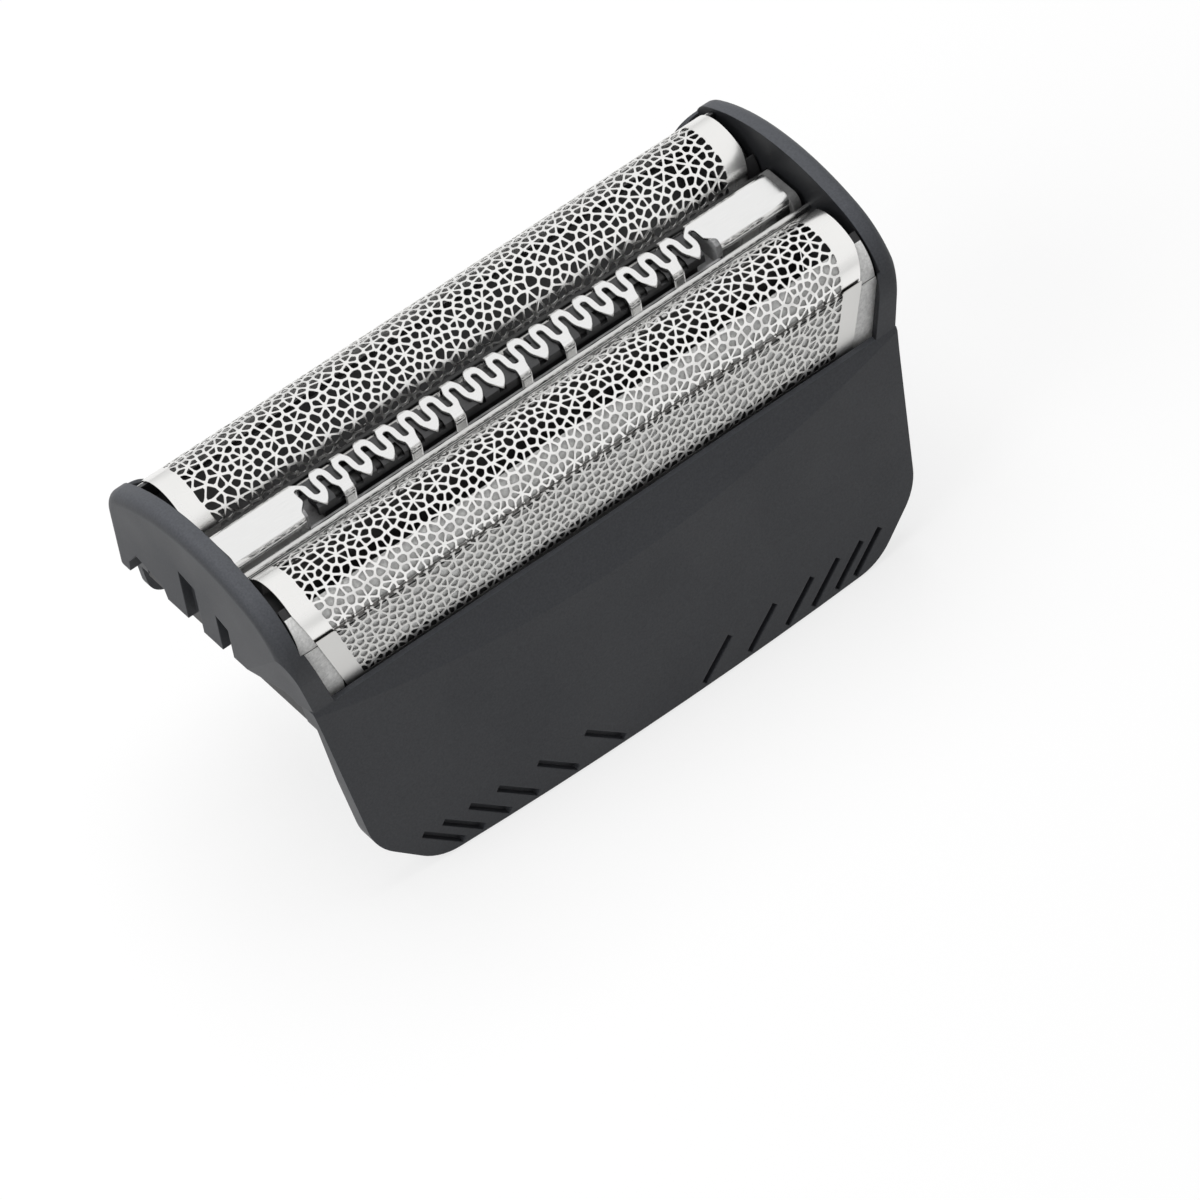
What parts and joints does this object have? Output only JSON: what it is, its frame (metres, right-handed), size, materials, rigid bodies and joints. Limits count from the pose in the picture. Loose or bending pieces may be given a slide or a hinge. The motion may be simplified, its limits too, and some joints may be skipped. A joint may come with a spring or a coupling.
{
  "type": "shaver foil head",
  "caption": "Push-fit shaver foil head: a black moulded frame with arched end walls carries floating perforated foils and a sprung slotted trimmer between them.",
  "frame": {"origin": "on the centre planes between the foils and between the end walls, at the level of the front skirt's lower edge, where the head goes over the shaver's neck", "axes": "+X along the foils, -Y to the front with the grip grooves, +Z towards the skin"},
  "size_m": [0.056, 0.0265, 0.0294],
  "materials": {
    "frame_plastic": "black moulded plastic with a fine matte grain",
    "foil": "bright electroformed foil",
    "carrier_plastic": "grey moulded plastic",
    "comb_steel": "polished stainless steel",
    "blade_steel": "ground stainless steel",
    "base_plastic": "dark grey moulded plastic",
    "slider_plastic": "grey moulded plastic",
    "clip_plastic": "grey moulded plastic",
    "spring_steel": "spring steel strip",
    "wire_steel": "bright steel wire"
  },
  "bodies": {
    "frame": {"frame": "frame_plastic", "front_wire": "wire_steel", "rear_wire": "wire_steel", "left_spring": "spring_steel", "right_spring": "spring_steel"},
    "front_cassette": {"front_foil": "foil", "front_carrier": "carrier_plastic"},
    "rear_cassette": {"rear_foil": "foil", "rear_carrier": "carrier_plastic"},
    "trimmer": {"trimmer_comb": "comb_steel", "trimmer_base": "base_plastic", "left_end_clip": "clip_plastic", "right_end_clip": "clip_plastic"},
    "blade": {"trimmer_blade": "blade_steel", "trimmer_slider": "slider_plastic"}
  },
  "joints": [
    {"name": "front_foil_float", "type": "slide", "parent": "frame", "child": "front_cassette", "axis": [0, 0, 1], "range_m": [0, 0.001]},
    {"name": "rear_foil_float", "type": "slide", "parent": "frame", "child": "rear_cassette", "axis": [0, 0, 1], "range_m": [0, 0.001]},
    {"name": "trimmer_float", "type": "slide", "parent": "frame", "child": "trimmer", "axis": [0, 0, 1], "range_m": [-0.001, 0], "stiffness_N_per_m": 300, "springref_m": 0.002, "deforming": ["left_spring", "right_spring"]},
    {"name": "blade_stroke", "type": "slide", "parent": "trimmer", "child": "blade", "axis": [1, 0, 0], "range_m": [-0.0009, 0.0009]}
  ]
}
